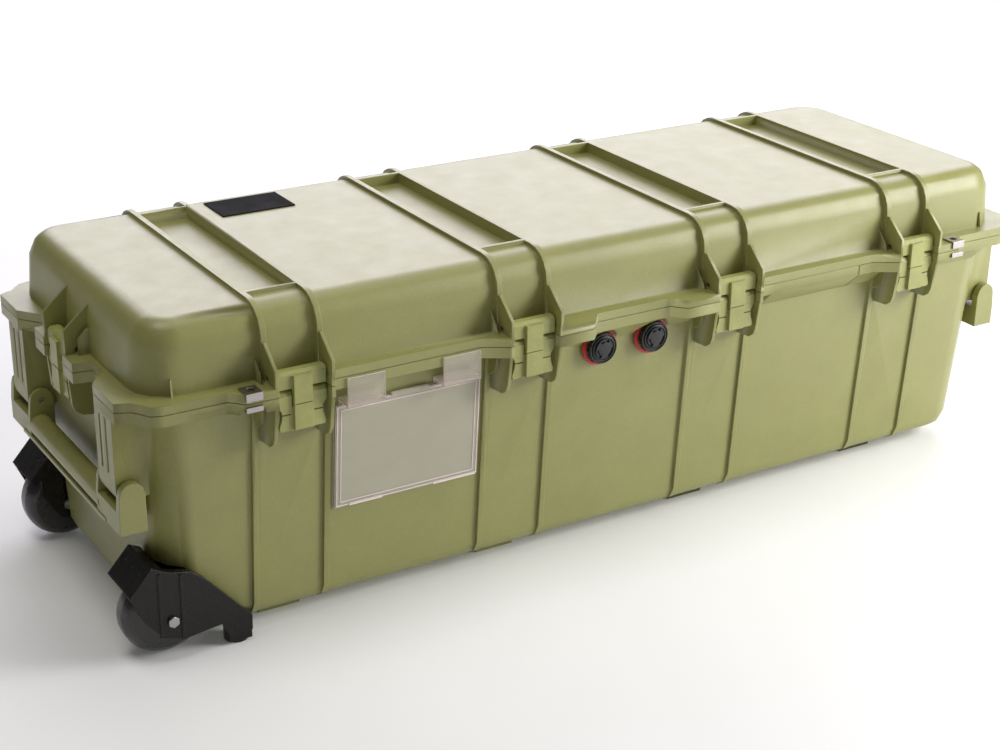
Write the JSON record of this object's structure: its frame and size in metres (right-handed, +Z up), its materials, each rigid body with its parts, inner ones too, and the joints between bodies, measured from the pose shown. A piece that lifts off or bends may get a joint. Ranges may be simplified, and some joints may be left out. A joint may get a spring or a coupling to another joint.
{
  "type": "wheeled equipment case",
  "caption": "Long hard plastic equipment case with a hinged ribbed lid, toggle latches, fold-down end handles, corner wheels, purge valves and a clear document holder.",
  "frame": {"origin": "on the floor under the middle of the case", "axes": "+Z up, +X along the case away from the wheels, -Y towards the front latches"},
  "size_m": [1.1235, 0.4108, 0.351],
  "materials": {
    "olive_shell": "fine moulded texture, satin",
    "black_housing": "moulded, satin",
    "wheel_tread": "hard polyurethane, slightly glossy",
    "stainless": "brushed",
    "red_seal": "smooth",
    "clear_cover": "clear, polished",
    "foam_grey": "open-cell foam",
    "seal_black": "smooth",
    "label_black": "satin, blank"
  },
  "bodies": {
    "base": {"base_shell": "olive_shell", "base_foam": "foam_grey", "wheel_housing_front": "black_housing", "wheel_housing_back": "black_housing", "axle_bolt_front": "stainless", "axle_bolt_back": "stainless", "handle_pin_left_front": "stainless", "handle_pin_left_back": "stainless", "handle_pin_right_front": "stainless", "handle_pin_right_back": "stainless", "padlock_plate_lower_left": "stainless", "padlock_plate_lower_right": "stainless", "purge_seal_1": "red_seal", "purge_seal_2": "red_seal", "purge_valve_body_1": "black_housing", "purge_valve_body_2": "black_housing", "hinge_pin_1": "stainless", "hinge_pin_2": "stainless", "hinge_pin_3": "stainless", "hinge_pin_4": "stainless", "document_frame": "clear_cover"},
    "lid": {"lid_shell": "olive_shell", "lid_seal": "seal_black", "lid_foam": "foam_grey", "lid_label_plate": "label_black", "latch_pin_front_1": "stainless", "latch_pin_front_2": "stainless", "latch_pin_front_3": "stainless", "latch_pin_front_4": "stainless", "latch_pin_end_left": "stainless", "latch_pin_end_right": "stainless", "padlock_plate_upper_left": "stainless", "padlock_plate_upper_right": "stainless"},
    "hook_front_1": {"latch_hook_front_1": "olive_shell", "lever_pin_front_1": "stainless"},
    "lever_front_1": {"latch_lever_front_1": "olive_shell"},
    "hook_front_2": {"latch_hook_front_2": "olive_shell", "lever_pin_front_2": "stainless"},
    "lever_front_2": {"latch_lever_front_2": "olive_shell"},
    "hook_front_3": {"latch_hook_front_3": "olive_shell", "lever_pin_front_3": "stainless"},
    "lever_front_3": {"latch_lever_front_3": "olive_shell"},
    "hook_front_4": {"latch_hook_front_4": "olive_shell", "lever_pin_front_4": "stainless"},
    "lever_front_4": {"latch_lever_front_4": "olive_shell"},
    "hook_end_left": {"latch_hook_end_left": "olive_shell", "lever_pin_end_left": "stainless"},
    "lever_end_left": {"latch_lever_end_left": "olive_shell"},
    "hook_end_right": {"latch_hook_end_right": "olive_shell", "lever_pin_end_right": "stainless"},
    "lever_end_right": {"latch_lever_end_right": "olive_shell"},
    "handle_left": {"carry_handle_left": "olive_shell"},
    "handle_right": {"carry_handle_right": "olive_shell"},
    "wheel_front": {"wheel_front": "wheel_tread"},
    "wheel_back": {"wheel_back": "wheel_tread"},
    "knob_1": {"purge_knob_1": "black_housing"},
    "knob_2": {"purge_knob_2": "black_housing"},
    "window": {"document_window": "clear_cover"}
  },
  "joints": [
    {"name": "lid_hinge", "type": "hinge", "parent": "base", "child": "lid", "pos_m": [0, 0.197, 0.269], "axis": [-1, 0, 0], "range_deg": [0, 105]},
    {"name": "hook_front_1_turn", "type": "hinge", "parent": "lid", "child": "hook_front_1", "pos_m": [-0.3875, -0.187, 0.2823], "axis": [-1, 0, 0], "range_deg": [0, 50]},
    {"name": "lever_front_1_pull", "type": "hinge", "parent": "hook_front_1", "child": "lever_front_1", "pos_m": [-0.3875, -0.1915, 0.265], "axis": [-1, 0, 0], "range_deg": [0, 65]},
    {"name": "hook_front_2_turn", "type": "hinge", "parent": "lid", "child": "hook_front_2", "pos_m": [-0.1305, -0.187, 0.2823], "axis": [-1, 0, 0], "range_deg": [0, 50]},
    {"name": "lever_front_2_pull", "type": "hinge", "parent": "hook_front_2", "child": "lever_front_2", "pos_m": [-0.1305, -0.1915, 0.265], "axis": [-1, 0, 0], "range_deg": [0, 65]},
    {"name": "hook_front_3_turn", "type": "hinge", "parent": "lid", "child": "hook_front_3", "pos_m": [0.1265, -0.187, 0.2823], "axis": [-1, 0, 0], "range_deg": [0, 50]},
    {"name": "lever_front_3_pull", "type": "hinge", "parent": "hook_front_3", "child": "lever_front_3", "pos_m": [0.1265, -0.1915, 0.265], "axis": [-1, 0, 0], "range_deg": [0, 65]},
    {"name": "hook_front_4_turn", "type": "hinge", "parent": "lid", "child": "hook_front_4", "pos_m": [0.3835, -0.187, 0.2823], "axis": [-1, 0, 0], "range_deg": [0, 50]},
    {"name": "lever_front_4_pull", "type": "hinge", "parent": "hook_front_4", "child": "lever_front_4", "pos_m": [0.3835, -0.1915, 0.265], "axis": [-1, 0, 0], "range_deg": [0, 65]},
    {"name": "hook_end_left_turn", "type": "hinge", "parent": "lid", "child": "hook_end_left", "pos_m": [-0.546, 0, 0.2823], "axis": [0, 1, 0], "range_deg": [0, 50]},
    {"name": "lever_end_left_pull", "type": "hinge", "parent": "hook_end_left", "child": "lever_end_left", "pos_m": [-0.5505, 0, 0.265], "axis": [0, 1, 0], "range_deg": [0, 65]},
    {"name": "hook_end_right_turn", "type": "hinge", "parent": "lid", "child": "hook_end_right", "pos_m": [0.546, 0, 0.2823], "axis": [0, -1, 0], "range_deg": [0, 50]},
    {"name": "lever_end_right_pull", "type": "hinge", "parent": "hook_end_right", "child": "lever_end_right", "pos_m": [0.5505, 0, 0.265], "axis": [0, -1, 0], "range_deg": [0, 65]},
    {"name": "handle_left_lift", "type": "hinge", "parent": "base", "child": "handle_left", "pos_m": [-0.546, 0, 0.18], "axis": [0, 1, 0], "range_deg": [0, 100]},
    {"name": "handle_right_lift", "type": "hinge", "parent": "base", "child": "handle_right", "pos_m": [0.546, 0, 0.18], "axis": [0, -1, 0], "range_deg": [0, 100]},
    {"name": "wheel_front_roll", "type": "hinge", "parent": "base", "child": "wheel_front", "pos_m": [-0.519, -0.1415, 0.045], "axis": [0, 1, 0], "continuous": true},
    {"name": "wheel_back_roll", "type": "hinge", "parent": "base", "child": "wheel_back", "pos_m": [-0.519, 0.1415, 0.045], "axis": [0, 1, 0], "continuous": true},
    {"name": "knob_1_turn", "type": "hinge", "parent": "base", "child": "knob_1", "pos_m": [-0.033, -0.18, 0.2335], "axis": [0, 1, 0], "range_deg": [0, 120]},
    {"name": "knob_2_turn", "type": "hinge", "parent": "base", "child": "knob_2", "pos_m": [0.033, -0.18, 0.2335], "axis": [0, 1, 0], "range_deg": [0, 120]},
    {"name": "document_window_open", "type": "hinge", "parent": "base", "child": "window", "pos_m": [-0.259, -0.1654, 0.1182], "axis": [1, 0, 0], "range_deg": [0, 60]}
  ]
}
